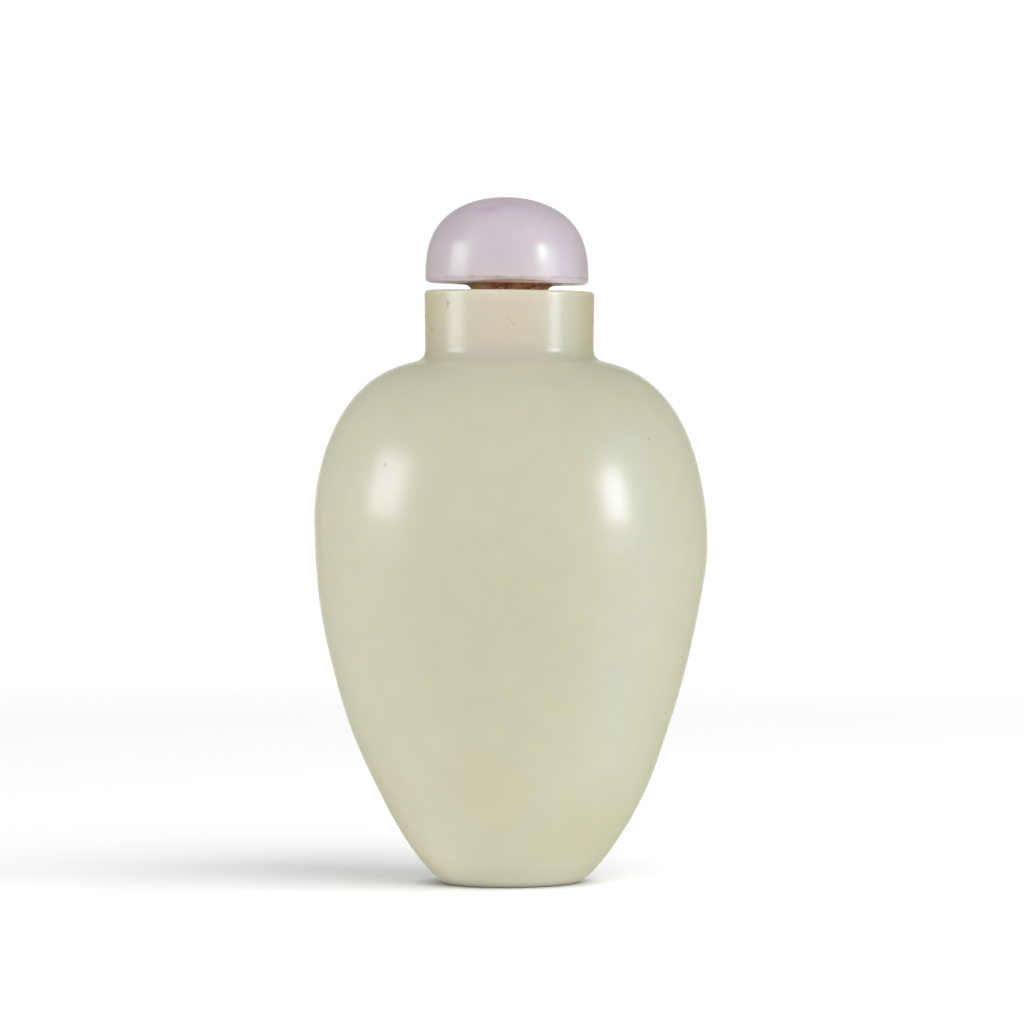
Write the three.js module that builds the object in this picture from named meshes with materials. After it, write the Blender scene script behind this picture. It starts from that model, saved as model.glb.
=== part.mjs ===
// A small carved jade snuff bottle with its stopper, standing on its foot.
//
// The bottle is one hollow piece of stone: an egg-shaped body that is widest above its middle, a
// short straight neck and a narrow mouth. The stopper is three pieces: a domed cap of lavender
// stone, a tapered cork that plugs the mouth, and the thin flared layer of shellac that glues the
// cap to the cork. The stopper only rests in the mouth, and it lifts straight out.
//
// Millimetres, +Z up. The origin is on the surface that the foot stands on, under the neck's axis.

import * as THREE from "three";

const { smoothstep } = THREE.MathUtils;

// ---- Driving dimensions ----

const bodyFacets = 48; // round the bottle and the cap
const plugFacets = 32; // round the cork and the shellac

const belly = { radius: 19.5, lowHeight: 33.5, highHeight: 35.65 }; // straight between its heights
const flank = { reach: 36.46, rise: 1.487, swell: 2.059 }; // the body below the belly
const shoulder = { reach: 16.57, rise: 1.78, swell: 4 }; // the body above the belly
const foot = {
  cornerRadius: 6.9, // where the flank would meet the ground if it had no rounding
  roundingHeight: 0.95,
  standRadius: 5.95, // outer edge of the flat ring that the bottle stands on
  recessRadius: 4.4,
  recessDepth: 0.4,
  recessRounding: 1.2,
};
const neck = { rootRadius: 8.38, rimRadius: 8.45, rimHeight: 58.7, rimRounding: 0.45, rootFillet: 1.1 };
const mouth = { radius: 3.65, rounding: 0.25 };
const hollow = { radius: 16.3, floorHeight: 5, roofHeight: 48.4 };
const cap = {
  radius: 8.1,
  undersideHeight: 59.4,
  topHeight: 68,
  edgeRounding: 0.55,
  offCentre: -0.24, // it is glued on a little to the left of the cork
};
const dome = { rise: 2.98, swell: 2.05 };
const shellac = { topRadius: 5.2, edgeThickness: 0.06, bottomRadius: 3.8, thickness: 0.6, waist: 4 };
const cork = { topRadius: 3.5, endRadius: 3.1, endHeight: 52.4, endRounding: 0.35 };

// How far the hand cutting departs from a turned form.
const rimSlope = -0.0118; // the rim falls towards +X
const rimSlopeStart = 53; // height where that slope begins
const stopperSlope = -0.015; // the stopper leans with the rim, and a little more
const bellyDrift = { distance: 0.19, height: 32.8, spread: 4.2 }; // towards +X
const footDrift = { distance: 0.3, fullBelow: 8, noneAbove: 16 }; // towards +X
const footOvality = { share: 0.045, noneAbove: 14, longAxis: Math.PI / 4 };

// ---- Profile curves, as points (radius, height) ----

/** Radius of a rounded form at a share of the way from its widest ring, 0, to its tip, 1. */
function roundedRadius(radius, form, share) {
  return radius * (1 - share ** form.rise) ** (1 / form.swell);
}

/** The share of the way to its tip at which a rounded form has the wanted radius. */
function shareAtRadius(radius, form, wanted) {
  return (1 - (wanted / radius) ** form.swell) ** (1 / form.rise);
}

/** Points of a rounded form whose tip is reach above its widest ring, or below it if negative. */
function roundedForm(radius, form, height, reach, fromShare, toShare, steps) {
  const points = [];
  const start = Math.asin(fromShare);
  const turn = Math.asin(toShare) - start;
  for (let i = 0; i <= steps; i++) {
    const share = i === steps ? toShare : Math.sin(start + (turn * i) / steps);
    points.push(new THREE.Vector2(roundedRadius(radius, form, share), height + reach * share));
  }
  return points;
}

/** Points of a rounded corner that starts and ends on the two straight runs that meet there. */
function roundedCorner(start, corner, end, steps) {
  const [a, b, c] = [start, corner, end].map((point) => new THREE.Vector2(...point));
  return new THREE.QuadraticBezierCurve(a, b, c).getPoints(steps);
}

// ---- Solids ----

/** A solid turned about Z from a profile that starts and ends on the axis. */
function turned(profile, facets) {
  return new THREE.LatheGeometry(profile, facets).rotateX(Math.PI / 2);
}

/** Moves each vertex of a geometry as the given function says. */
function reshape(geometry, move) {
  const position = geometry.getAttribute("position");
  const point = new THREE.Vector3();
  for (let i = 0; i < position.count; i++) {
    move(point.fromBufferAttribute(position, i));
    position.setXYZ(i, point.x, point.y, point.z);
  }
  geometry.computeVertexNormals();
  return geometry;
}

/** The underside: a flat ring to stand on, round a shallow dish. */
function footProfile() {
  const { recessRadius, recessDepth, recessRounding, standRadius, cornerRadius, roundingHeight } = foot;
  const roundingShare = (belly.lowHeight - roundingHeight) / flank.reach;
  const flankRadius = roundedRadius(belly.radius, flank, roundingShare);
  const dishEdge = [recessRadius - recessRounding, recessDepth];
  return [
    new THREE.Vector2(0, recessDepth),
    ...roundedCorner(dishEdge, [recessRadius, recessDepth], [recessRadius, 0], 3),
    ...roundedCorner([standRadius, 0], [cornerRadius, 0], [flankRadius, roundingHeight], 5).slice(0, -1),
  ];
}

/** The outside of the body, from the foot's rounding up to the fillet under the neck. */
function bodyProfile() {
  const low = (belly.lowHeight - foot.roundingHeight) / flank.reach;
  const high = shareAtRadius(belly.radius, shoulder, neck.rootRadius + neck.rootFillet);
  return [
    ...roundedForm(belly.radius, flank, belly.lowHeight, -flank.reach, low, 0, 16),
    ...roundedForm(belly.radius, shoulder, belly.highHeight, shoulder.reach, 0, high, 14),
  ];
}

/** The neck, over the rim and down into the mouth as far as the hollow. */
function neckProfile() {
  const { rootRadius, rimRadius, rimHeight, rimRounding, rootFillet } = neck;
  const rootShare = shareAtRadius(belly.radius, shoulder, rootRadius);
  const rootHeight = belly.highHeight + shoulder.reach * rootShare;
  const filletShare = shareAtRadius(belly.radius, shoulder, rootRadius + rootFillet);
  const filletHeight = belly.highHeight + shoulder.reach * filletShare;
  const filletStart = [rootRadius + rootFillet, filletHeight];
  const rimEdge = [rimRadius, rimHeight];
  const mouthEdge = [mouth.radius, rimHeight];
  return [
    ...roundedCorner(filletStart, [rootRadius, rootHeight], [rootRadius, rootHeight + rootFillet], 4).slice(1),
    ...roundedCorner([rimRadius, rimHeight - rimRounding], rimEdge, [rimRadius - rimRounding, rimHeight], 4),
    ...roundedCorner(
      [mouth.radius + mouth.rounding, rimHeight],
      mouthEdge,
      [mouth.radius, rimHeight - mouth.rounding],
      2,
    ),
  ];
}

/** The inside of the body, from the foot of the mouth's bore down to the floor. */
function hollowProfile() {
  const roofReach = hollow.roofHeight - belly.highHeight;
  const floorReach = belly.lowHeight - hollow.floorHeight;
  const boreShare = shareAtRadius(hollow.radius, shoulder, mouth.radius);
  return [
    ...roundedForm(hollow.radius, shoulder, belly.highHeight, roofReach, boreShare, 0, 10),
    ...roundedForm(hollow.radius, flank, belly.lowHeight, -floorReach, 0, 1, 12),
  ];
}

/** Gives the bottle the small irregularities of a form that was ground by hand. */
function handCut(point) {
  const oval = footOvality.share * (1 - smoothstep(point.z, 0, footOvality.noneAbove));
  const angle = Math.atan2(point.y, point.x);
  const stretch = 1 + oval * Math.cos(2 * (angle - footOvality.longAxis));
  const fromBelly = (point.z - bellyDrift.height) / bellyDrift.spread;
  const atFoot = 1 - smoothstep(point.z, footDrift.fullBelow, footDrift.noneAbove);
  const drift = bellyDrift.distance * Math.exp(-(fromBelly ** 2)) + footDrift.distance * atFoot;
  point.x = point.x * stretch + drift;
  point.y *= stretch;
  point.z += rimSlope * point.x * smoothstep(point.z, rimSlopeStart, neck.rimHeight);
}

/** Leans a piece of the stopper. Flat faces stay flat, and faces that meet still meet. */
function leanStopper(point) {
  point.z += stopperSlope * point.x;
}

function bottleGeometry() {
  const profile = [...footProfile(), ...bodyProfile(), ...neckProfile(), ...hollowProfile()];
  return reshape(turned(profile, bodyFacets), handCut);
}

function capGeometry() {
  const { radius, undersideHeight, topHeight, edgeRounding, offCentre } = cap;
  const height = topHeight - undersideHeight;
  const edge = [radius, undersideHeight];
  const edgeEnd = [radius, undersideHeight + edgeRounding];
  const profile = [
    new THREE.Vector2(0, undersideHeight),
    ...roundedCorner([radius - edgeRounding, undersideHeight], edge, edgeEnd, 4).slice(0, -1),
    ...roundedForm(radius, dome, undersideHeight, height, edgeRounding / height, 1, 16),
  ];
  return reshape(turned(profile, bodyFacets).translate(offCentre, 0, 0), leanStopper);
}

function shellacGeometry() {
  const { topRadius, edgeThickness, bottomRadius, thickness, waist } = shellac;
  const top = cap.undersideHeight;
  const bottom = top - thickness;
  const edge = top - edgeThickness;
  const profile = [
    new THREE.Vector2(0, bottom),
    ...roundedCorner([bottomRadius, bottom], [waist, edge], [topRadius, edge], 4),
    new THREE.Vector2(topRadius, top),
    new THREE.Vector2(0, top),
  ];
  return reshape(turned(profile, plugFacets), leanStopper);
}

function corkGeometry() {
  const { topRadius, endRadius, endHeight, endRounding } = cork;
  const topHeight = cap.undersideHeight - shellac.thickness;
  const endEdge = [endRadius, endHeight];
  const profile = [
    new THREE.Vector2(0, endHeight),
    ...roundedCorner([endRadius - endRounding, endHeight], endEdge, [endRadius, endHeight + endRounding], 3),
    new THREE.Vector2(topRadius, topHeight),
    new THREE.Vector2(0, topHeight),
  ];
  return reshape(turned(profile, plugFacets), leanStopper);
}

// ---- The object ----

const jade = new THREE.MeshStandardMaterial({ color: "#cac8aa", roughness: 0.28, metalness: 0 });
const lavenderStone = new THREE.MeshStandardMaterial({ color: "#c9bcc9", roughness: 0.25, metalness: 0 });
const darkShellac = new THREE.MeshStandardMaterial({ color: "#7a4426", roughness: 0.35, metalness: 0 });
const oldCork = new THREE.MeshStandardMaterial({ color: "#a97f52", roughness: 0.9, metalness: 0 });

/** A named mesh. */
function piece(name, geometry, material) {
  const mesh = new THREE.Mesh(geometry, material);
  mesh.name = name;
  return mesh;
}

const snuffBottle = new THREE.Group();
snuffBottle.add(
  piece("bottle", bottleGeometry(), jade),
  piece("stopper_cap", capGeometry(), lavenderStone),
  piece("stopper_shellac", shellacGeometry(), darkShellac),
  piece("stopper_cork", corkGeometry(), oldCork),
);

export default snuffBottle;
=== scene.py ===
"""A small pale jade snuff bottle with a lavender stone stopper, on a white studio floor.

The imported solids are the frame. Each piece here is turned afresh from the boxes of those solids, as
finely as polished stone needs, and stands for one of them. Lengths are in millimetres until a piece
is finished, when its mesh is brought to the frame's metres.
"""

import logging
import math
from dataclasses import dataclass, field
from enum import Enum
from typing import Any, Callable, Mapping, Optional, Sequence, Union

import bmesh
import bpy
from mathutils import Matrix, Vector, noise


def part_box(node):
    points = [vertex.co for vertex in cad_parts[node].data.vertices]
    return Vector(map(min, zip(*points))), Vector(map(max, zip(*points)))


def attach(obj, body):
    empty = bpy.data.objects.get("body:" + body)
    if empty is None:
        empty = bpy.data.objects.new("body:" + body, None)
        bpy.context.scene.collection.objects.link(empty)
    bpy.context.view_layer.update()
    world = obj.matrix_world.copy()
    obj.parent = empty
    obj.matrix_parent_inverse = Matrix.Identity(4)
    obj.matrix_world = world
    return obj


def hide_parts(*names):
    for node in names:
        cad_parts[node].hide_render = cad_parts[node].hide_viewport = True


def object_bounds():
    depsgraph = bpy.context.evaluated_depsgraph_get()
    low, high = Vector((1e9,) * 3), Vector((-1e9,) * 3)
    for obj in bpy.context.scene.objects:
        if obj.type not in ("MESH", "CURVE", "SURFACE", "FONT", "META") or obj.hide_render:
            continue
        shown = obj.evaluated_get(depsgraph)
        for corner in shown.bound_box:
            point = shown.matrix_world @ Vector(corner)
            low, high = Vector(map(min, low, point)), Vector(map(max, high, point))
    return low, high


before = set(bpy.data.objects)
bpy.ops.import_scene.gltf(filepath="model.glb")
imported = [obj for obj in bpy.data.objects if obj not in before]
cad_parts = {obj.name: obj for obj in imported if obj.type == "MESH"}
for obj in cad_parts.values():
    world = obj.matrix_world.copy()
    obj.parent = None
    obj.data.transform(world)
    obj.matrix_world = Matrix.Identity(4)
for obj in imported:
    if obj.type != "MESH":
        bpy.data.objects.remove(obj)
CAD_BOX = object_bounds()

LOG = logging.getLogger("snuff_bottle")
MM = 0.001  # metres in a millimetre

Profile = list[Vector]  # points (radius, height) of a turned form
Colour = tuple[float, float, float]
Point = tuple[float, float, float]  # a place, or how far something reaches along each axis
Number = Union["Wire", float]


class CadNode(Enum):
    """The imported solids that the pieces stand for."""

    BOTTLE = "bottle"
    CAP = "stopper_cap"
    SHELLAC = "stopper_shellac"
    CORK = "stopper_cork"


class Thing(Enum):
    """The objects of the scene that light can fall on."""

    BOTTLE = "bottle_stone"
    CAP = "stopper_cap_stone"
    SHELLAC = "stopper_shellac_layer"
    CORK = "stopper_cork_plug"
    FLOOR = "studio_floor"


class Slot(Enum):
    """The record's material slots."""

    JADE = "jade"
    LAVENDER_STONE = "lavender_stone"
    SHELLAC = "shellac"
    CORK = "cork"


class Blend(Enum):
    """The ways in which one colour is laid over another."""

    MIX = "MIX"
    MULTIPLY = "MULTIPLY"


# ---- Shaders ----


class Wire:
    """A shader socket on which arithmetic can be written."""

    def __init__(self, shader: "Shader", node: bpy.types.Node, output: Union[str, int] = 0) -> None:
        """Keeps the node, and the shader that further nodes go into.

        Args:
            shader: The shader whose tree holds the node.
            node: Any node of it.
            output: The output meant, by name or number.
        """
        self.shader = shader
        self.node = node
        self.output = output

    @property
    def socket(self) -> bpy.types.NodeSocket:
        """The output socket, of a number, a vector, a colour or a shader."""
        return self.node.outputs[self.output]

    @property
    def is_number(self) -> bool:
        """Whether the socket carries one number."""
        return self.socket.type == "VALUE"

    def combine(self, operation: str, first: Number, second: Number) -> "Wire":
        """Adds the Math or Vector Math node of one operation.

        Args:
            operation: The node's operation.
            first: A wire or a number.
            second: A wire or a number.

        Returns:
            The node's result.
        """
        numbers = all(not isinstance(term, Wire) or term.is_number for term in (first, second))
        kind = "ShaderNodeMath" if numbers else "ShaderNodeVectorMath"
        terms = [
            (term,) * 3 if not numbers and not isinstance(term, Wire) else term
            for term in (first, second)
        ]
        return self.shader.node(kind, {"operation": operation}, {0: terms[0], 1: terms[1]})

    def __add__(self, other: Number) -> "Wire":
        """This plus a wire or a number."""
        return self.combine("ADD", self, other)

    def __sub__(self, other: Number) -> "Wire":
        """This minus a wire or a number."""
        return self.combine("SUBTRACT", self, other)

    def __rsub__(self, other: Number) -> "Wire":
        """A number minus this."""
        return self.combine("SUBTRACT", other, self)

    def __mul__(self, other: Number) -> "Wire":
        """This times a wire or a number."""
        return self.combine("MULTIPLY", self, other)

    def __abs__(self) -> "Wire":
        """This without its sign."""
        return self.shader.node("ShaderNodeMath", {"operation": "ABSOLUTE"}, {0: self})

    __radd__ = __add__
    __rmul__ = __mul__


class Shader:
    """The node tree of one material or of the world, and the few ways in which nodes are added."""

    def __init__(self, tree: bpy.types.NodeTree) -> None:
        """Empties a node tree and takes it over.

        Args:
            tree: The tree of a material or of the world.
        """
        self.tree = tree
        self.tree.nodes.clear()

    def node(
        self,
        kind: str,
        settings: Optional[Mapping[str, Any]] = None,
        inputs: Optional[Mapping[Union[str, int], Any]] = None,
        output: Union[str, int] = 0,
    ) -> Wire:
        """Adds a node.

        Args:
            kind: The node's type.
            settings: Its properties, which are set before its inputs.
            inputs: Its sockets, by name or number, each with a wire to link or a value to set.
            output: The output that the wire returned carries.

        Returns:
            A wire from one of its outputs.
        """
        made = self.tree.nodes.new(kind)
        for name, value in (settings or {}).items():
            setattr(made, name, value)
        for name, value in (inputs or {}).items():
            if isinstance(value, Wire):
                self.tree.links.new(value.socket, made.inputs[name])
            else:
                made.inputs[name].default_value = value
        return Wire(self, made, output)

    def place(self) -> Wire:
        """The surface's place in the object's frame, in millimetres."""
        return self.node("ShaderNodeTexCoord", output="Object") * (1 / MM)

    def axis(self, place: Wire, name: str) -> Wire:
        """One coordinate of a place or a direction, X, Y or Z."""
        return self.node("ShaderNodeSeparateXYZ", inputs={0: place}, output=name)

    def clouds(self, place: Wire, size: float, detail: float = 2.0, rough: float = 0.5) -> Wire:
        """Smooth noise.

        Args:
            place: Where on the surface, in millimetres.
            size: The width of its patches, in millimetres.
            detail: How many finer layers it has.
            rough: How much each finer layer counts.

        Returns:
            A number from 0 to 1, mostly near a half.
        """
        inputs = {"Vector": place, "Scale": 1 / size, "Detail": detail, "Roughness": rough}
        return self.node("ShaderNodeTexNoise", inputs=inputs, output="Fac")

    def ramp(self, value: Number, low: float, high: float, start: float = 0.0, end: float = 1.0) -> Wire:
        """Eases from one number to another as a value goes through a range.

        Args:
            value: The value.
            low: Where the range begins.
            high: Where the range ends.
            start: The result up to the beginning.
            end: The result from the end on.

        Returns:
            The eased number.
        """
        settings = {"interpolation_type": "SMOOTHSTEP"}
        inputs = {"Value": value, "From Min": low, "From Max": high, "To Min": start, "To Max": end}
        return self.node("ShaderNodeMapRange", settings, inputs)

    def near(self, place: Wire, centre: Point, reach: float, stretch: Point = (1, 1, 1)) -> Wire:
        """A soft round or oval spot.

        Args:
            place: Where on the surface, in millimetres.
            centre: The middle of the spot, in millimetres.
            reach: Its radius, in millimetres.
            stretch: How many times longer than that it is along each axis.

        Returns:
            1 in the middle of the spot, easing to 0 at its edge.
        """
        scale = tuple(1 / (reach * share) for share in stretch)
        settings = {"vector_type": "POINT"}
        location = tuple(-c * s for c, s in zip(centre, scale))
        inputs = {"Vector": place, "Location": location, "Scale": scale}
        local = self.node("ShaderNodeMapping", settings, inputs)
        distance = self.node("ShaderNodeVectorMath", {"operation": "LENGTH"}, {0: local}, "Value")
        return self.ramp(distance, 0.0, 1.0, 1.0, 0.0)

    def lay(
        self,
        share: Number,
        under: Union[Wire, Colour],
        over: Union[Wire, Colour],
        blend: Blend = Blend.MIX,
    ) -> Wire:
        """Lays one colour over another.

        Args:
            share: How much of the upper colour shows, from 0 to 1.
            under: The lower colour.
            over: The upper colour.
            blend: How they mix.

        Returns:
            The mixed colour.
        """
        settings = {"data_type": "RGBA", "blend_type": blend.value, "clamp_factor": True}
        colours = [c if isinstance(c, Wire) else (*c, 1.0) for c in (under, over)]
        return self.node("ShaderNodeMix", settings, {0: share, 6: colours[0], 7: colours[1]}, 2)

    def bump(self, height: Wire, depth: float) -> Wire:
        """Turns a height into the slope of the surface.

        Args:
            height: A number from 0 to 1.
            depth: The relief between them, in millimetres.

        Returns:
            The normal.
        """
        inputs = {"Height": height, "Distance": depth * MM, "Strength": 1.0}
        return self.node("ShaderNodeBump", inputs=inputs)

    def surface(self, **sockets: Any) -> None:
        """Ends the tree with a Principled shader.

        Args:
            sockets: Its sockets, with underscores for spaces, each with a wire or a value.
        """
        inputs = {name.replace("_", " "): value for name, value in sockets.items()}
        shader = self.node("ShaderNodeBsdfPrincipled", inputs=inputs)
        self.node("ShaderNodeOutputMaterial", inputs={"Surface": shader})


def new_shader(name: str) -> tuple[bpy.types.Material, Shader]:
    """Makes a material.

    Args:
        name: Its name.

    Returns:
        The material, and the shader that its nodes are added to.
    """
    material = bpy.data.materials.new(name)
    material.use_nodes = True
    return material, Shader(material.node_tree)


def around(angle: float, radius: float, height: float) -> Point:
    """The point of a turned surface at an angle from the front, in degrees to the right."""
    turn = math.radians(angle)
    return radius * math.sin(turn), -radius * math.cos(turn), height


class Shape(Enum):
    """The shapes of the marks in the stone."""

    CLOUD = "soft all round"
    SMUDGE = "soft and ragged"
    SPECK = "small and sharp"


@dataclass(frozen=True)
class Mark:
    """A stain, a streak or a speck at one place."""

    shape: Shape
    centre: Point
    reach: float
    colour: Colour
    share: float  # how much of its colour shows
    stretch: Point = (1.0, 1.0, 1.0)

    def lie_on(self, s: Shader, place: Wire, colour: Wire) -> Wire:
        """Lays the mark over a colour.

        Args:
            s: The material's shader.
            place: Where on the surface, in millimetres.
            colour: The colour under it.

        Returns:
            The colour with the mark.
        """
        spot = s.near(place, self.centre, self.reach, self.stretch)
        if self.shape is Shape.SMUDGE:
            spot = s.ramp(spot, 0.0, 0.6) * s.ramp(s.clouds(place, self.reach * 0.7, 4.0, 0.7), 0.36, 0.56)
        elif self.shape is Shape.SPECK:
            spot = s.ramp(spot, 0.1, 0.6)
        return s.lay(spot * self.share, colour, self.colour)


@dataclass(frozen=True)
class JadeFinish:
    """Hand-polished pale celadon jade: waxy, slightly translucent, clouded and faintly stained, with painted
    light and shade on its neck and foot.
    """

    pale: Colour = (0.59, 0.587, 0.43)
    green: Colour = (0.575, 0.59, 0.435)
    warm: Colour = (0.61, 0.58, 0.42)
    neck_front_tone_and_painted_light: Colour = (0.64, 0.60, 0.475)  # the front of the neck: a warm tone, made lighter as painted light
    painted_side_shade: Colour = (0.505, 0.48, 0.315)  # painted shade on the sides and back of the neck
    foot_edge_painted_light: Colour = (0.72, 0.69, 0.50)  # painted light: the edge of the foot made paler, against its shade
    edge_height: float = 1.5  # where the painted light on the foot's edge ends
    neck_low: float = 50.3  # where the body's colour starts to become the neck's
    neck_high: float = 53.4  # where it is the neck's
    glow_depth: float = 1.8  # how far light wanders in the stone, in millimetres
    marks: tuple[Mark, ...] = ()

    def material(self) -> bpy.types.Material:
        """Builds the material.

        Returns:
            The material.
        """
        material, s = new_shader("polished_jade")
        place = s.place()
        colour = self._clouded(s, place)
        for mark in self.marks:
            colour = mark.lie_on(s, place, colour)
        grain = s.clouds(place, 0.34, 3.0, 0.6)
        handling = s.clouds(place, 5.0, 3.0, 0.55)
        roughness = s.ramp(handling, 0.25, 0.75, 0.24, 0.255) + s.ramp(grain, 0.3, 0.7, -0.012, 0.012)
        s.surface(
            Base_Color=colour,
            Roughness=roughness,
            IOR=1.61,
            Normal=s.bump(s.clouds(place, 2.2, 2.0), 0.0015),
            Subsurface_Weight=1.0,
            Subsurface_Radius=(1.0, 0.92, 0.55),
            Subsurface_Scale=self.glow_depth * MM,
        )
        return material

    def _clouded(self, s: Shader, place: Wire) -> Wire:
        """Lays the large and small clouds of the stone, and the painted light and shade of the neck and foot.

        Args:
            s: The material's shader.
            place: Where on the surface, in millimetres.

        Returns:
            The colour of the stone without its marks, with the painted light and shade.
        """
        green = s.ramp(s.clouds(place, 16.0, 1.5), 0.38, 0.62)
        colour = s.lay(green * 0.4, self.pale, self.green)
        warm = s.ramp(s.clouds(place + 37.0, 9.0, 2.5), 0.46, 0.68)
        colour = s.lay(warm * 0.2, colour, self.warm)
        back = s.axis(place, "Y")
        # The neck's colour: lighter in front as painted light, darker towards the sides and back as painted
        # shade.
        neck = s.lay(s.ramp(back, -8.3, -6.6), self.neck_front_tone_and_painted_light, self.pale)
        neck = s.lay(s.ramp(back, -7.2, -2.8), neck, self.painted_side_shade)
        height = s.axis(place, "Z")
        colour = s.lay(s.ramp(height, self.neck_low, self.neck_high), colour, neck)
        # Painted light: the foot's lowest edge is made paler.
        colour = s.lay(s.ramp(height, 0.1, self.edge_height, 0.9, 0.0), colour, self.foot_edge_painted_light)
        wisps = s.ramp(s.clouds(place + 11.0, 2.6, 2.5, 0.5), 0.3, 0.75, 0.985, 1.01)
        return s.lay(1.0, colour, wisps, Blend.MULTIPLY)


@dataclass(frozen=True)
class LavenderFinish:
    """Polished lavender stone, violet at its crown, rosier below and grimy along its lower edge, with painted
    shade at its sides and back and painted light on its underside.
    """

    lavender: Colour = (0.59, 0.51, 0.585)
    crown: Colour = (0.56, 0.47, 0.59)
    rose: Colour = (0.59, 0.515, 0.56)
    painted_side_shade: Colour = (0.50, 0.43, 0.485)  # painted shade on the sides and back
    pale: Colour = (0.92, 0.85, 0.81)  # painted light: the underside made paler, against its shade
    grime: Colour = (0.30, 0.20, 0.14)
    low: float = 59.4  # the underside's height
    high: float = 68.0  # the crown's height
    glow_depth: float = 1.0  # how far light wanders in the stone, in millimetres
    edge_height: float = 0.47  # of the worn edge above the underside, with dirt along its upper side
    marks: tuple[Mark, ...] = ()

    def material(self) -> bpy.types.Material:
        """Builds the material.

        Returns:
            The material.
        """
        material, s = new_shader("polished_lavender_stone")
        place = s.place()
        height = s.axis(place, "Z")
        colour = s.lay(s.ramp(height, self.low, self.low + 4.0), self.rose, self.lavender)
        # Painted shade: darker towards the sides and back.
        colour = s.lay(s.ramp(s.axis(place, "Y"), -6.8, -2.0), colour, self.painted_side_shade)
        colour = s.lay(s.ramp(height, self.high - 4.0, self.high), colour, self.crown)
        clouds = s.ramp(s.clouds(place, 3.0, 3.0, 0.55), 0.3, 0.7, 0.97, 1.02)
        colour = s.lay(1.0, colour, clouds, Blend.MULTIPLY)
        for mark in self.marks:
            colour = mark.lie_on(s, place, colour)
        # Painted light: the underside is made paler.
        colour = s.lay(s.ramp(height, self.low - 0.1, self.low + 0.18, 0.9, 0.0), colour, self.pale)
        colour = s.lay(self._dirt(s, place, height), colour, self.grime)
        grain = s.clouds(place, 0.30, 3.0, 0.6)
        s.surface(
            Base_Color=colour,
            Roughness=s.ramp(grain, 0.3, 0.7, 0.225, 0.265),
            IOR=1.6,
            Normal=s.bump(grain, 0.0006),
            Subsurface_Weight=1.0,
            Subsurface_Radius=(1.0, 0.85, 1.0),
            Subsurface_Scale=self.glow_depth * MM,
        )
        return material

    def _dirt(self, s: Shader, place: Wire, height: Wire) -> Wire:
        """How much dirt lies in the broken line along the lower edge.

        Args:
            s: The material's shader.
            place: Where on the surface, in millimetres.
            height: Its height above the floor.

        Returns:
            A share, from 0 to 1.
        """
        straying = s.clouds(place, 1.6, 3.0, 0.6) * 0.3 - 0.15
        line = abs(height - (self.low + self.edge_height) + straying)
        broken = s.ramp(s.clouds(place + 3.0, 1.1, 4.0, 0.65), 0.35, 0.62, 0.2)
        return s.ramp(line, 0.0, 0.22, 0.36, 0.0) * broken


@dataclass(frozen=True)
class ShellacFinish:
    """Old red-brown shellac, dark where it is thick, and pale where it crumbles or thins out."""

    dark: Colour = (0.17, 0.055, 0.025)
    red: Colour = (0.52, 0.21, 0.09)
    brown: Colour = (0.52, 0.33, 0.18)
    tan: Colour = (0.74, 0.52, 0.33)
    smear: Colour = (0.85, 0.77, 0.72)  # the thin edge
    low: float = 58.8  # the height of its lower face
    smear_from: float = 3.95  # how far to either side it starts to thin out
    smear_to: float = 4.4  # how far out it is thin

    def material(self) -> bpy.types.Material:
        """Builds the material.

        Returns:
            The material.
        """
        material, s = new_shader("old_shellac")
        place = s.place()
        lumps = s.clouds(place, 0.9, 4.0, 0.65)
        crumbs = s.clouds(place + 5.0, 0.22, 2.0, 0.6)
        colour = s.lay(s.ramp(lumps, 0.36, 0.52), self.dark, self.red)
        thick = s.near(place, around(-12.0, 4.0, self.low + 0.3), 2.0)
        colour = s.lay(s.ramp(thick, 0.0, 0.7, 0.0, 0.65), colour, self.dark)
        left = s.near(place, around(-65.0, 3.9, self.low + 0.3), 3.2)
        colour = s.lay(s.ramp(left, 0.0, 0.5, 0.0, 0.9), colour, self.brown)
        right = s.near(place, around(80.0, 4.0, self.low + 0.3), 2.2)
        colour = s.lay(s.ramp(right, 0.0, 0.6, 0.0, 0.7), colour, self.tan)
        low_edge = s.ramp(s.axis(place, "Z"), self.low, self.low + 0.25, 0.06, 0.0)
        colour = s.lay(s.ramp(crumbs + low_edge, 0.57, 0.66, 0.0, 0.8), colour, self.tan)
        ragged = abs(s.axis(place, "X")) + s.ramp(crumbs, 0.3, 0.7, -0.2, 0.2)
        colour = s.lay(s.ramp(ragged, self.smear_from, self.smear_to), colour, self.smear)
        s.surface(
            Base_Color=colour,
            Roughness=s.ramp(crumbs, 0.4, 0.65, 0.3, 0.6),
            Normal=s.bump(crumbs, 0.02),
            IOR=1.52,
        )
        return material


@dataclass(frozen=True)
class CorkFinish:
    """Raw old cork with dark pores."""

    light: Colour = (0.46, 0.27, 0.13)
    dark: Colour = (0.17, 0.08, 0.035)

    def material(self) -> bpy.types.Material:
        """Builds the material.

        Returns:
            The material.
        """
        material, s = new_shader("old_cork")
        place = s.place()
        cells = s.node("ShaderNodeTexVoronoi", {"feature": "F1"}, {"Vector": place, "Scale": 2.6}, "Distance")
        pores = s.ramp(s.clouds(place, 0.8, 3.0, 0.6), 0.58, 0.68)
        colour = s.lay(s.ramp(cells, 0.1, 0.7, 0.0, 0.45), self.light, self.dark)
        colour = s.lay(pores, colour, self.dark)
        s.surface(Base_Color=colour, Roughness=0.9, Normal=s.bump(cells - pores, 0.10))
        return material


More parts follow.
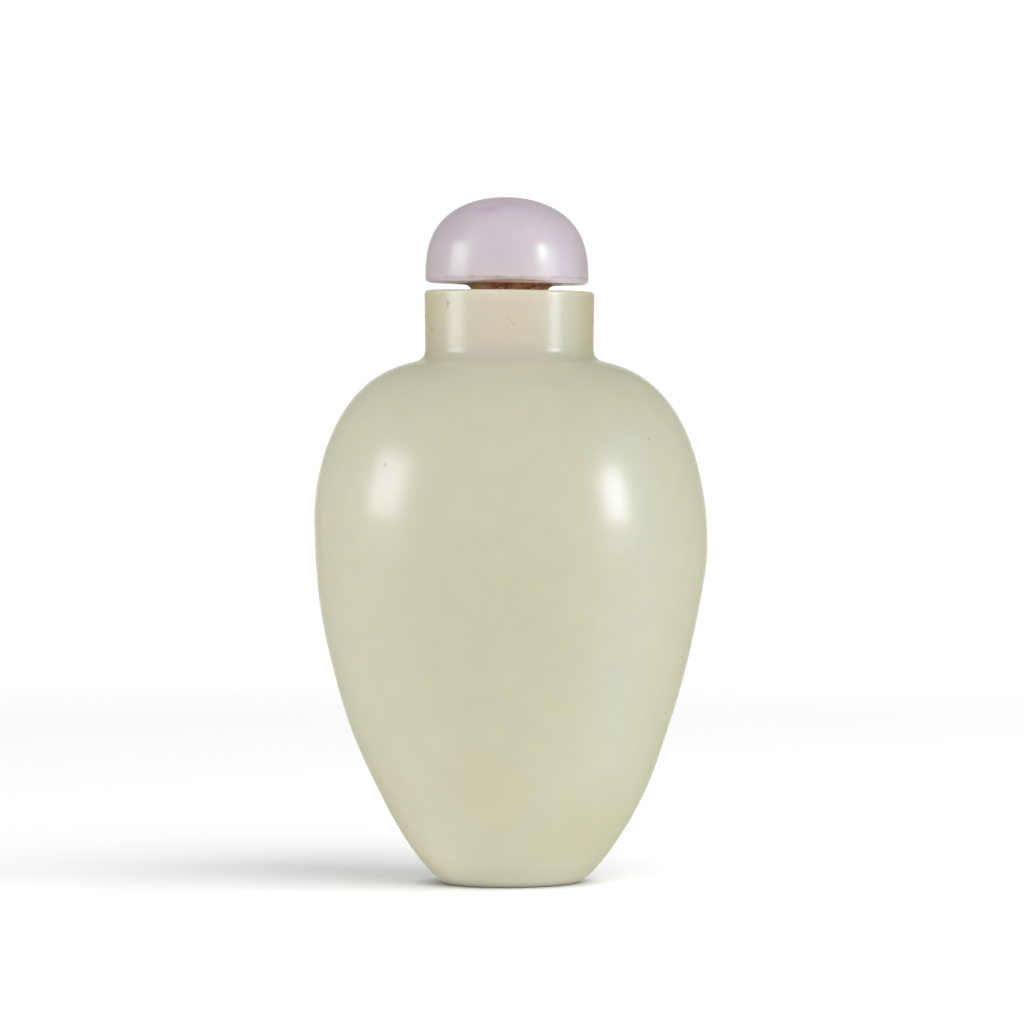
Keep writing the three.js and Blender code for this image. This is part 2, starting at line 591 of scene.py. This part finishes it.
@dataclass(frozen=True)
class FloorFinish:
    """White paper that fades out towards its edge, and is clear from below, with a painted shadow round the
    bottle's foot where its own shine is taken off.
    """

    white: Colour = (0.62, 0.62, 0.62)
    fibre: Colour = (0.58, 0.58, 0.58)
    lift: float = 0.42  # how much it shines by itself, as bright paper seems to
    painted_shadow_core: float = 6.3  # painted shadow: how far out from the foot its shine is off
    painted_shadow_edge: float = 10.5  # how far out the painted shadow ends and it shines in full
    solid_to: float = 260.0  # how far out it starts to fade
    clear_from: float = 480.0  # how far out it is clear

    def material(self) -> bpy.types.Material:
        """Builds the material.

        Returns:
            The material.
        """
        material, s = new_shader("white_paper")
        place = s.place()
        fibres = s.clouds(place, 1.5, 3.0)
        colour = s.lay(s.ramp(fibres, 0.3, 0.7, 0.0, 0.03), self.white, self.fibre)
        away = s.node("ShaderNodeVectorMath", {"operation": "LENGTH"}, {0: place}, "Value")
        # Painted shadow: no shine close round the foot, full shine further out.
        glow_with_painted_shadow = s.lay(s.ramp(away, self.painted_shadow_core, self.painted_shadow_edge), (0.0, 0.0, 0.0), colour)
        below = s.node("ShaderNodeNewGeometry", output="Backfacing")
        shown = s.ramp(away, self.solid_to, self.clear_from, 1.0, 0.0) * (1 - below)
        s.surface(
            Base_Color=colour,
            Roughness=0.9,
            Specular_IOR_Level=0.0,
            Emission_Color=glow_with_painted_shadow,
            Emission_Strength=self.lift,
            Alpha=shown,
        )
        return material


# ---- Forms ----


@dataclass(frozen=True)
class Span:
    """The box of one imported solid, in millimetres."""

    low: Vector
    high: Vector

    @classmethod
    def of(cls, node: CadNode) -> "Span":
        """The box of the named solid."""
        low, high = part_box(node.value)
        return cls(low / MM, high / MM)

    @property
    def radius(self) -> float:
        """Half its depth, front to back, where nothing drifts or leans."""
        return (self.high.y - self.low.y) / 2

    @property
    def middle(self) -> float:
        """The middle of its width, left to right."""
        return (self.high.x + self.low.x) / 2


@dataclass(frozen=True)
class RoundedForm:
    """A turned form that narrows smoothly from its widest ring to its tip."""

    radius: float
    height: float  # of the widest ring
    reach: float  # from there to the tip, negative where the tip is below
    rise: float
    swell: float

    def radius_at(self, share: float) -> float:
        """The radius at a share of the way to the tip."""
        return self.radius * (1 - share**self.rise) ** (1 / self.swell)

    def share_at(self, radius: float) -> float:
        """The share of the way to the tip where the form has a radius."""
        return (1 - (radius / self.radius) ** self.swell) ** (1 / self.rise)

    def point(self, share: float) -> Vector:
        """The point of the profile at a share of the way to the tip."""
        return Vector((self.radius_at(share), self.height + self.reach * share))

    def curve(self, start: float, end: float, steps: int) -> Profile:
        """The profile from one share of the way to another, closer set towards the tip.

        Args:
            start: The share where it starts.
            end: The share where it ends.
            steps: How many steps it has.

        Returns:
            Its points, both ends included.
        """
        first = math.asin(start)
        turn = math.asin(end) - first
        shares = [math.sin(first + turn * i / steps) for i in range(steps)]
        return [self.point(share) for share in (*shares, end)]


def corner(start: Sequence[float], middle: Sequence[float], end: Sequence[float], steps: int) -> Profile:
    """A rounded corner between two straight runs.

    Args:
        start: Where the rounding leaves the first run.
        middle: Where the two runs would meet.
        end: Where the rounding joins the second run.
        steps: How many steps it has.

    Returns:
        Its points, both ends included.
    """
    a, b, c = Vector(start), Vector(middle), Vector(end)
    shares = [i / steps for i in range(steps + 1)]
    return [a * (1 - t) ** 2 + b * 2 * t * (1 - t) + c * t**2 for t in shares]


def eased(value: float, low: float, high: float) -> float:
    """Goes from 0 to 1 as a value goes from low to high, level at both ends."""
    share = min(max((value - low) / (high - low), 0.0), 1.0)
    return share * share * (3 - 2 * share)


def turned(profile: Profile, steps: int) -> bmesh.types.BMesh:
    """Spins a profile about the upright axis into a closed solid.

    Args:
        profile: Points that start and end on the axis.
        steps: How many steps the full turn has.

    Returns:
        The solid, with its poles closed and its faces outwards.
    """
    solid = bmesh.new()
    verts = [solid.verts.new((point.x, 0.0, point.y)) for point in profile]
    edges = [solid.edges.new(pair) for pair in zip(verts, verts[1:])]
    bmesh.ops.spin(
        solid,
        geom=[*verts, *edges],
        cent=(0, 0, 0),
        axis=(0, 0, 1),
        dvec=(0, 0, 0),
        angle=math.tau,
        steps=steps,
        use_merge=True,
        use_duplicate=False,
    )
    bmesh.ops.remove_doubles(solid, verts=solid.verts, dist=1e-4)
    bmesh.ops.recalc_face_normals(solid, faces=solid.faces)
    return solid


def move_points(solid: bmesh.types.BMesh, move: Callable[[Vector], Vector]) -> None:
    """Moves each point of a solid.

    Args:
        solid: The solid.
        move: Gives a point's new place.
    """
    for vert in solid.verts:
        vert.co = move(vert.co)
    solid.normal_update()


def wander(solid: bmesh.types.BMesh, size: float, depth: float, seed: float, start: float) -> None:
    """Lets a surface sink a little here and there, as one does that is ground by hand.

    Args:
        solid: The solid.
        size: The width of a hollow, in millimetres.
        depth: How far it sinks at most, in millimetres.
        seed: Any number, which picks the pattern.
        start: The height below which nothing sinks, such as that of a face that others rest on.
    """
    solid.normal_update()
    offset = Vector((seed, -seed, 2 * seed))
    for vert in solid.verts:
        sink = 0.5 + 0.5 * noise.noise(vert.co / size + offset)
        vert.co -= vert.normal * depth * sink * eased(vert.co.z, start, start + 1.5)


@dataclass
class Piece:
    """A finished piece of the object, and what it stands for."""

    name: Thing
    solid: bmesh.types.BMesh
    node: CadNode
    slot: Slot

    def place(self, material: bpy.types.Material) -> bpy.types.Object:
        """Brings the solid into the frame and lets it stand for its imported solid.

        Args:
            material: Its finish.

        Returns:
            The object, which rides on the body.
        """
        bmesh.ops.scale(self.solid, vec=(MM, MM, MM), verts=self.solid.verts)
        for face in self.solid.faces:
            face.smooth = True
        mesh = bpy.data.meshes.new(self.name.value)
        self.solid.to_mesh(mesh)
        self.solid.free()
        piece = bpy.data.objects.new(self.name.value, mesh)
        bpy.context.scene.collection.objects.link(piece)
        piece.data.materials.append(material)
        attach(piece, "root")
        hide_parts(self.node.value)
        LOG.info("%s: %d faces, stands for %s", piece.name, len(mesh.polygons), self.node.value)
        return piece


# ---- Sub-assemblies ----


@dataclass
class Bottle:
    """The hollow stone bottle: body, neck, mouth and foot in one piece."""

    span: Span = field(default_factory=lambda: Span.of(CadNode.BOTTLE))
    steps: int = 180
    # The body.
    belly_low: float = 33.5
    belly_high: float = 35.65
    flank_reach: float = 36.46
    flank_rise: float = 1.487
    flank_swell: float = 2.059
    shoulder_reach: float = 16.57
    shoulder_rise: float = 1.78
    shoulder_swell: float = 4.0
    # The foot.
    foot_corner: float = 6.9
    foot_rounding: float = 0.95
    stand_radius: float = 5.95
    recess_radius: float = 4.4
    recess_depth: float = 0.4
    recess_rounding: float = 1.2
    # The neck and the mouth.
    neck_root: float = 8.38
    neck_rim: float = 8.45
    rim_rounding: float = 0.45
    root_fillet: float = 1.1
    mouth_radius: float = 3.65
    mouth_rounding: float = 0.25
    # The hollow.
    wall: float = 3.2
    floor_height: float = 5.0
    roof_height: float = 48.4
    # How far the hand cutting departs from a turned form.
    rim_slope: float = -0.0118
    rim_slope_start: float = 53.0
    belly_drift: float = 0.19
    belly_drift_height: float = 32.8
    belly_drift_spread: float = 4.2
    foot_drift: float = 0.3
    foot_drift_low: float = 8.0
    foot_drift_high: float = 16.0
    foot_oval: float = 0.045
    foot_oval_high: float = 14.0
    foot_long_axis: float = math.pi / 4  # the direction in which the foot is longest

    @property
    def rim_height(self) -> float:
        """The height of the rim on the axis, without its slope."""
        return self.span.high.z - abs(self.rim_slope) * (self.neck_rim - self.rim_rounding)

    @property
    def flank(self) -> RoundedForm:
        """The body below the belly."""
        radius, reach = self.span.radius, -self.flank_reach
        return RoundedForm(radius, self.belly_low, reach, self.flank_rise, self.flank_swell)

    @property
    def shoulder(self) -> RoundedForm:
        """The body above the belly."""
        radius, reach = self.span.radius, self.shoulder_reach
        return RoundedForm(radius, self.belly_high, reach, self.shoulder_rise, self.shoulder_swell)

    def build(self) -> Piece:
        """Turns the bottle and gives it its hand-cut irregularities.

        Returns:
            The piece.
        """
        profile = [*self._foot(), *self._body(), *self._neck(), *self._hollow()]
        solid = turned(profile, self.steps)
        wander(solid, size=9.0, depth=0.04, seed=3.1, start=0.1)
        wander(solid, size=2.4, depth=0.012, seed=5.9, start=0.1)
        move_points(solid, self._cut_by_hand)
        return Piece(Thing.BOTTLE, solid, CadNode.BOTTLE, Slot.JADE)

    def dress(self) -> bpy.types.Material:
        """The bottle's finish, with the few stains in its stone, and painted shade and light low on its foot.
        """
        russet, brown, dark = (0.44, 0.31, 0.17), (0.36, 0.28, 0.15), (0.10, 0.06, 0.04)
        neck = self.neck_root
        marks = (
            Mark(Shape.CLOUD, self._place_on_body(-8, 10.1), 7.5, (0.60, 0.55, 0.38), 0.4),
            # Painted shade: darker low on the right of the foot.
            Mark(Shape.CLOUD, self._place_on_body(42, 5.0), 9.0, (0.52, 0.50, 0.33), 0.6),
            # Painted light: paler low on the left of the foot.
            Mark(Shape.CLOUD, self._place_on_body(-50, 1.5), 8.0, (0.68, 0.66, 0.48), 0.5),
            Mark(Shape.CLOUD, around(0, neck, 55.6), 1.0, (0.60, 0.53, 0.36), 0.25),
            Mark(Shape.SPECK, around(-1.2, neck, 55.9), 0.24, russet, 0.4, (0.7, 1.0, 1.0)),
            Mark(Shape.SPECK, around(1.4, neck, 55.6), 0.18, russet, 0.3),
            Mark(Shape.SPECK, around(3.2, neck, 55.3), 0.24, russet, 0.4, (1.0, 1.0, 0.7)),
            Mark(Shape.SPECK, around(5.2, neck, 55.2), 0.16, russet, 0.3),
            Mark(Shape.SPECK, around(-1.7, neck, 54.9), 0.18, russet, 0.35),
            Mark(Shape.SMUDGE, around(-46, neck, 57.3), 0.55, brown, 0.7),
            Mark(Shape.SPECK, around(-80, neck, 56.2), 0.3, dark, 0.9),
            Mark(Shape.SMUDGE, around(-66, neck, 54.8), 0.4, russet, 0.6),
            Mark(Shape.SPECK, self._place_on_body(49.5, 44.1), 0.14, dark, 0.8),
            Mark(Shape.SMUDGE, self._place_on_body(-40, 41.6), 0.35, (0.36, 0.32, 0.2), 0.6),
            Mark(Shape.SPECK, self._place_on_body(22, 51.1), 0.12, brown, 0.6),
            Mark(Shape.SMUDGE, around(140, neck, 55.0), 0.5, brown, 0.5),
            Mark(Shape.CLOUD, self._place_on_body(165, 30.0), 8.0, (0.66, 0.58, 0.40), 0.3),
        )
        return JadeFinish(marks=marks).material()

    def _place_on_body(self, angle: float, height: float) -> Point:
        """The point of the body's outside at an angle from the front and a height."""
        form = self.flank if height < self.belly_high else self.shoulder
        share = max((height - form.height) / form.reach, 0.0)
        return around(angle, form.radius_at(share), height)

    def _foot(self) -> Profile:
        """The underside: a flat ring to stand on, round a shallow dish."""
        share = (self.belly_low - self.foot_rounding) / self.flank_reach
        dish = self.recess_radius - self.recess_rounding
        recess = self.recess_radius, self.recess_depth
        low = self.stand_radius, 0.0
        high = self.flank.radius_at(share), self.foot_rounding
        return [
            Vector((0.0, self.recess_depth)),
            *corner((dish, self.recess_depth), recess, (self.recess_radius, 0.0), 8),
            *corner(low, (self.foot_corner, 0.0), high, 14)[:-1],
        ]

    def _body(self) -> Profile:
        """The outside of the body, from the foot's rounding to the fillet under the neck."""
        low = (self.belly_low - self.foot_rounding) / self.flank_reach
        high = self.shoulder.share_at(self.neck_root + self.root_fillet)
        return [*self.flank.curve(low, 0.0, 90), *self.shoulder.curve(0.0, high, 64)]

    def _neck(self) -> Profile:
        """The neck, over the rim and into the mouth."""
        rim, root, fillet = self.rim_height, self.neck_root, self.root_fillet
        start = self.shoulder.point(self.shoulder.share_at(root + fillet))
        meeting = self.shoulder.point(self.shoulder.share_at(root))
        low = self.neck_rim, rim - self.rim_rounding
        high = self.neck_rim - self.rim_rounding, rim
        lip = self.mouth_radius + self.mouth_rounding, rim
        bore = self.mouth_radius, rim - self.mouth_rounding
        return [
            *corner(start, meeting, (root, meeting.y + fillet), 14)[1:],
            *corner(low, (self.neck_rim, rim), high, 12),
            *corner(lip, (self.mouth_radius, rim), bore, 8),
        ]

    def _hollow(self) -> Profile:
        """The inside, from the foot of the mouth's bore to the floor."""
        radius = self.span.radius - self.wall
        up, down = self.roof_height - self.belly_high, self.floor_height - self.belly_low
        roof = RoundedForm(radius, self.belly_high, up, self.shoulder_rise, self.shoulder_swell)
        bowl = RoundedForm(radius, self.belly_low, down, self.flank_rise, self.flank_swell)
        return [*roof.curve(roof.share_at(self.mouth_radius), 0.0, 30), *bowl.curve(0.0, 1.0, 40)]

    def _cut_by_hand(self, point: Vector) -> Vector:
        """Moves a point of the turned form to where the hand cutting left it.

        Args:
            point: The point, in millimetres.

        Returns:
            Its new place.
        """
        oval = self.foot_oval * (1 - eased(point.z, 0.0, self.foot_oval_high))
        angle = math.atan2(point.y, point.x)
        stretch = 1 + oval * math.cos(2 * (angle - self.foot_long_axis))
        from_belly = (point.z - self.belly_drift_height) / self.belly_drift_spread
        at_foot = 1 - eased(point.z, self.foot_drift_low, self.foot_drift_high)
        drift = self.belly_drift * math.exp(-(from_belly**2)) + self.foot_drift * at_foot
        x = point.x * stretch + drift
        fall = self.rim_slope * x * eased(point.z, self.rim_slope_start, self.rim_height)
        return Vector((x, point.y * stretch, point.z + fall))


@dataclass
class Stopper:
    """The stopper: a domed cap, glued with shellac to a cork that plugs the mouth."""

    cap_span: Span = field(default_factory=lambda: Span.of(CadNode.CAP))
    shellac_span: Span = field(default_factory=lambda: Span.of(CadNode.SHELLAC))
    cork_span: Span = field(default_factory=lambda: Span.of(CadNode.CORK))
    lean: float = -0.015  # how much it falls for each millimetre to the right
    cap_rounding: float = 0.55
    cap_steps: int = 140
    dome_rise: float = 2.98
    dome_swell: float = 2.05
    shellac_bottom_radius: float = 3.8
    shellac_waist: float = 4.0
    shellac_edge: float = 0.06  # its thickness where it feathers out
    shellac_crumbs: float = 0.15  # how deep its crumbled edge goes
    shellac_crumb_size: float = 0.3
    shellac_steps: int = 240
    cork_end_radius: float = 3.1
    cork_rounding: float = 0.35
    cork_steps: int = 72

    @property
    def underside(self) -> float:
        """The height of the cap's underside on the axis."""
        edge = self.cap_span.radius - self.cap_rounding + self.cap_span.middle
        return self.cap_span.low.z - self.lean * edge

    @property
    def shellac_bottom(self) -> float:
        """The height of the shellac's lower face on the axis."""
        return self.shellac_span.low.z - self.lean * self.shellac_bottom_radius

    def build(self) -> list[Piece]:
        """Turns the three pieces of the stopper.

        Returns:
            The cap, the shellac and the cork.
        """
        return [
            Piece(Thing.CAP, self._cap(), CadNode.CAP, Slot.LAVENDER_STONE),
            Piece(Thing.SHELLAC, self._shellac(), CadNode.SHELLAC, Slot.SHELLAC),
            Piece(Thing.CORK, self._cork(), CadNode.CORK, Slot.CORK),
        ]

    def dress(self) -> list[bpy.types.Material]:
        """The finishes of the cap, the shellac and the cork, the cap's with painted shade on its right side
        and a painted reflection along its lower edge.
        """
        top, low = self.cap_span.high.z, self.underside
        purple, brown = (0.50, 0.37, 0.49), (0.16, 0.11, 0.08)
        violet, lilac = (0.50, 0.42, 0.52), (0.53, 0.44, 0.53)
        marks = (
            Mark(Shape.CLOUD, around(-55, 7.0, top - 3.0), 4.5, violet, 0.55),
            Mark(Shape.CLOUD, around(55, 7.6, top - 5.0), 5.0, lilac, 0.75),
            # Painted shade: darker low on the cap's right side.
            Mark(Shape.CLOUD, around(80, 8.0, low + 2.5), 4.5, (0.40, 0.34, 0.41), 0.5),
            Mark(Shape.CLOUD, around(-8, 8.0, low + 3.5), 4.5, (0.50, 0.44, 0.50), 0.3),
            Mark(Shape.CLOUD, around(-22, 5.2, top - 1.4), 1.5, purple, 0.8, (1.5, 1.0, 0.5)),
            Mark(Shape.CLOUD, around(-5, 4.2, top - 0.9), 1.5, purple, 0.5, (1.5, 1.0, 0.5)),
            Mark(Shape.CLOUD, around(-3, 7.9, low + 0.4), 5.0, (0.34, 0.25, 0.20), 0.45, (1.0, 1.0, 0.04)),
            # Painted reflection: a thin red-brown band along the lower edge, where the underside mirrors the
            # shellac.
            Mark(Shape.SPECK, around(1, 7.9, low), 6.8, (0.30, 0.13, 0.07), 0.9, (1.0, 1.0, 0.065)),
            Mark(Shape.SMUDGE, around(-47, 7.8, low + 0.5), 0.55, brown, 0.9, (1.0, 1.0, 0.5)),
            Mark(Shape.SMUDGE, around(-7, 7.9, low + 0.52), 0.5, brown, 0.8, (1.2, 1.0, 0.4)),
            Mark(Shape.SMUDGE, around(-26, 7.9, low + 0.6), 0.4, brown, 0.7, (1.3, 1.0, 0.5)),
            Mark(Shape.SMUDGE, around(-18, 7.9, low + 0.6), 0.35, brown, 0.7, (1.3, 1.0, 0.4)),
        )
        cap = LavenderFinish(low=low, high=top, marks=marks)
        shellac = ShellacFinish(low=self.shellac_bottom)
        return [cap.material(), shellac.material(), CorkFinish().material()]

    def _leaning(self, point: Vector) -> Vector:
        """A point of an upright stopper, where the leaning one has it."""
        return point + Vector((0, 0, self.lean * point.x))

    def _cap(self) -> bmesh.types.BMesh:
        """Turns the domed cap."""
        radius, rounding, low = self.cap_span.radius, self.cap_rounding, self.underside
        offset = Vector((self.cap_span.middle, 0, 0))
        height = self.cap_span.high.z - self.lean * self.cap_span.middle - low
        dome = RoundedForm(radius, low, height, self.dome_rise, self.dome_swell)
        edge = corner((radius - rounding, low), (radius, low), (radius, low + rounding), 12)
        profile = [Vector((0.0, low)), *edge[:-1], *dome.curve(rounding / height, 1.0, 90)]
        solid = turned(profile, self.cap_steps)
        wander(solid, size=5.0, depth=0.02, seed=7.7, start=low + self.cap_rounding)
        bmesh.ops.translate(solid, vec=offset, verts=solid.verts)
        move_points(solid, self._leaning)
        return solid

    def _shellac(self) -> bmesh.types.BMesh:
        """Turns the flared layer of shellac."""
        top, bottom = self.underside, self.shellac_bottom
        radius, edge = self.shellac_span.radius, self.underside - self.shellac_edge
        flare = corner((self.shellac_bottom_radius, bottom), (self.shellac_waist, edge), (radius, edge), 20)
        profile = [Vector((0.0, bottom)), *flare, Vector((radius, top)), Vector((0.0, top))]
        solid = turned(profile, self.shellac_steps)
        crumbly = [vert for vert in solid.verts if bottom < vert.co.z < top]
        for vert in crumbly:
            crumbled = noise.noise(vert.co / self.shellac_crumb_size) ** 2
            vert.co -= vert.normal * self.shellac_crumbs * crumbled
        move_points(solid, self._leaning)
        return solid

    def _cork(self) -> bmesh.types.BMesh:
        """Turns the tapered cork."""
        radius, end, rounding = self.cork_span.radius, self.cork_end_radius, self.cork_rounding
        low = self.cork_span.low.z - self.lean * (end - rounding)
        top = self.shellac_bottom
        tip = corner((end - rounding, low), (end, low), (end, low + rounding), 6)
        side = [tip[-1].lerp(Vector((radius, top)), i / 12) for i in range(1, 13)]
        solid = turned([Vector((0.0, low)), *tip, *side, Vector((0.0, top))], self.cork_steps)
        move_points(solid, self._leaning)
        return solid


# ---- The studio ----


@dataclass(frozen=True)
class Softbox:
    """A soft rectangular lamp that faces the bottle."""

    name: str
    azimuth: float  # degrees to the right of the camera, seen from the bottle
    elevation: float  # degrees
    distance: float  # metres
    width: float  # degrees, seen from the bottle
    height: float  # degrees, seen from the bottle
    radiance: float
    colour: Colour
    lights: tuple[Thing, ...]  # the objects that it shines on
    mirrored: bool = True  # whether polished surfaces mirror it

    def place(self, target: Vector) -> None:
        """Sets the lamp up.

        Args:
            target: The point that it faces.
        """
        azimuth, elevation = math.radians(self.azimuth), math.radians(self.elevation)
        level = math.cos(elevation)
        towards = Vector((math.sin(azimuth) * level, -math.cos(azimuth) * level, math.sin(elevation)))
        lamp = bpy.data.lights.new(self.name, "AREA")
        lamp.shape = "RECTANGLE"
        lamp.size = 2 * self.distance * math.tan(math.radians(self.width) / 2)
        lamp.size_y = 2 * self.distance * math.tan(math.radians(self.height) / 2)
        lamp.energy = self.radiance * math.pi * lamp.size * lamp.size_y
        lamp.color = self.colour
        stand = bpy.data.objects.new(self.name, lamp)
        stand.location = target + towards * self.distance
        stand.rotation_euler = towards.to_track_quat("Z", "Y").to_euler()
        stand.visible_camera = False
        stand.visible_glossy = self.mirrored
        bpy.context.scene.collection.objects.link(stand)
        lit = bpy.data.collections.new(f"lit_by_{self.name}")
        for thing in self.lights:
            lit.objects.link(bpy.data.objects[thing.value])
        stand.light_linking.receiver_collection = lit
        LOG.info("%s: %.2f by %.2f m", self.name, lamp.size, lamp.size_y)


BELOW_CAP = (Thing.BOTTLE, Thing.SHELLAC, Thing.CORK)


@dataclass
class Studio:
    """The white floor, the lamps, the bright surroundings and the camera."""

    floor_radius: float = 0.5
    front_glow: float = 0.95  # how bright the surroundings are in front of the bottle
    back_glow: float = 0.2  # how bright they are behind it
    backdrop_light: float = 0.8  # the light that the white paper behind throws back
    overhead_share: float = 0.92  # how bright it is overhead, beside the same side's horizon
    mirrored_glow: Colour = (0.38, 0.36, 0.25)  # what polished stone mirrors of the dim room
    seen_glow: float = 1.05  # of the white paper behind, as the camera sees it
    backdrop_glow: float = 1.0  # what polished stone mirrors of the white paper behind and below
    wall_glow: Colour = (0.45, 0.74, 1.25)  # what it mirrors of the pale bluish wall on the right
    camera_distance: float = 0.5357
    camera_height: float = 0.0459
    camera_aside: float = 0.00026  # to the right of the neck's axis
    camera_pitch: float = -0.976  # degrees
    lens: float = 189.84
    softboxes: tuple[Softbox, ...] = (
        Softbox("key_softbox", 65, 13.6, 1.0, 15.5, 20, 10.2, (0.84, 0.80, 1.0), BELOW_CAP),
        Softbox("fill_softbox", -78, 14.3, 1.0, 25, 25, 5.6, (0.82, 0.74, 1.0), BELOW_CAP),
        Softbox("cap_key_core", 55, 22.5, 1.0, 10, 17, 12.5, (0.86, 1.0, 0.82), (Thing.CAP,)),
        Softbox("cap_key", 60, 12, 1.0, 32, 28, 2.2, (0.86, 1.0, 0.82), (Thing.CAP,)),
        Softbox("cap_fill", -73, 17, 1.0, 27, 24, 4.4, (0.82, 1.0, 0.77), (Thing.CAP,)),
        Softbox("shellac_softbox", 0, -3, 1.0, 80, 14, 7.0, (1.0, 1.0, 1.0), (Thing.SHELLAC,), False),
        Softbox("floor_softbox", 48, 48, 1.0, 62, 44, 3.8, (1.0, 1.0, 1.0), (Thing.FLOOR,)),
    )

    def build(self) -> None:
        """Sets up everything round the bottle."""
        self._floor()
        self._world()
        middle = (CAD_BOX[0] + CAD_BOX[1]) / 2
        for softbox in self.softboxes:
            softbox.place(middle)
        self._camera()
        bpy.context.scene.view_settings.view_transform = "Standard"

    def _floor(self) -> None:
        """Lays the floor that the bottle stands on."""
        disc = bmesh.new()
        bmesh.ops.create_circle(disc, cap_ends=True, radius=self.floor_radius, segments=64)
        bmesh.ops.translate(disc, vec=(0, 0, CAD_BOX[0].z), verts=disc.verts)
        mesh = bpy.data.meshes.new(Thing.FLOOR.value)
        disc.to_mesh(mesh)
        disc.free()
        floor = bpy.data.objects.new(Thing.FLOOR.value, mesh)
        mesh.materials.append(FloorFinish().material())
        floor.visible_glossy = False
        bpy.context.scene.collection.objects.link(floor)

    def _world(self) -> None:
        """Surrounds the scene with soft light, and shows plain white behind it."""
        world = bpy.data.worlds.new("white_surroundings")
        world.use_nodes = True
        s = Shader(world.node_tree)
        towards = s.node("ShaderNodeTexCoord", output="Generated")
        right, back, up = s.axis(towards, "X"), s.axis(towards, "Y"), s.axis(towards, "Z")
        lit = s.ramp(back, -0.5, 0.9, self.front_glow, self.back_glow)
        lit = lit * s.ramp(up, 0.2, 1.0, 1.0, self.overhead_share)
        lit = lit + s.ramp(back, 0.65, 0.95, 0.0, self.backdrop_light)
        paper = s.ramp(back, 0.94, 0.99) + s.ramp(up, -0.9, -0.4, 1.0, 0.0)
        wall = s.ramp(right, 0.68, 0.8) * s.ramp(back, -0.1, 0.5, 1.0, 0.0) * s.ramp(up, 0.4, 0.8, 1.0, 0.4)
        mirrored = s.lay(wall, self.mirrored_glow, self.wall_glow)
        mirrored = s.lay(paper, mirrored, (self.backdrop_glow,) * 3)
        white = (1.0, 1.0, 1.0, 1.0)
        glow = s.node("ShaderNodeBackground", inputs={"Color": white, "Strength": lit})
        for ray, inputs in {
            "Is Glossy Ray": {"Color": mirrored},
            "Is Camera Ray": {"Color": white, "Strength": self.seen_glow},
        }.items():
            kind = s.node("ShaderNodeLightPath", output=ray)
            other = s.node("ShaderNodeBackground", inputs=inputs)
            glow = s.node("ShaderNodeMixShader", inputs={0: kind, 1: glow, 2: other})
        s.node("ShaderNodeOutputWorld", inputs={"Surface": glow})
        bpy.context.scene.world = world

    def _camera(self) -> None:
        """Stands the camera in front of the bottle."""
        camera = bpy.data.objects.new("camera", bpy.data.cameras.new("camera"))
        camera.data.lens = self.lens
        camera.data.sensor_width = 36.0
        camera.data.clip_start = 0.01
        camera.data.clip_end = 20.0
        camera.location = (self.camera_aside, -self.camera_distance, self.camera_height)
        camera.rotation_euler = (math.radians(90 + self.camera_pitch), 0, 0)
        bpy.context.scene.collection.objects.link(camera)
        bpy.context.scene.camera = camera


def main() -> None:
    """Builds and dresses the bottle and its stopper, and sets up the studio."""
    logging.basicConfig(level=logging.INFO, format="%(name)s: %(message)s")
    bottle = Bottle()
    bottle.build().place(bottle.dress())
    stopper = Stopper()
    for piece, material in zip(stopper.build(), stopper.dress()):
        piece.place(material)
    Studio().build()


if __name__ == "__main__":
    main()
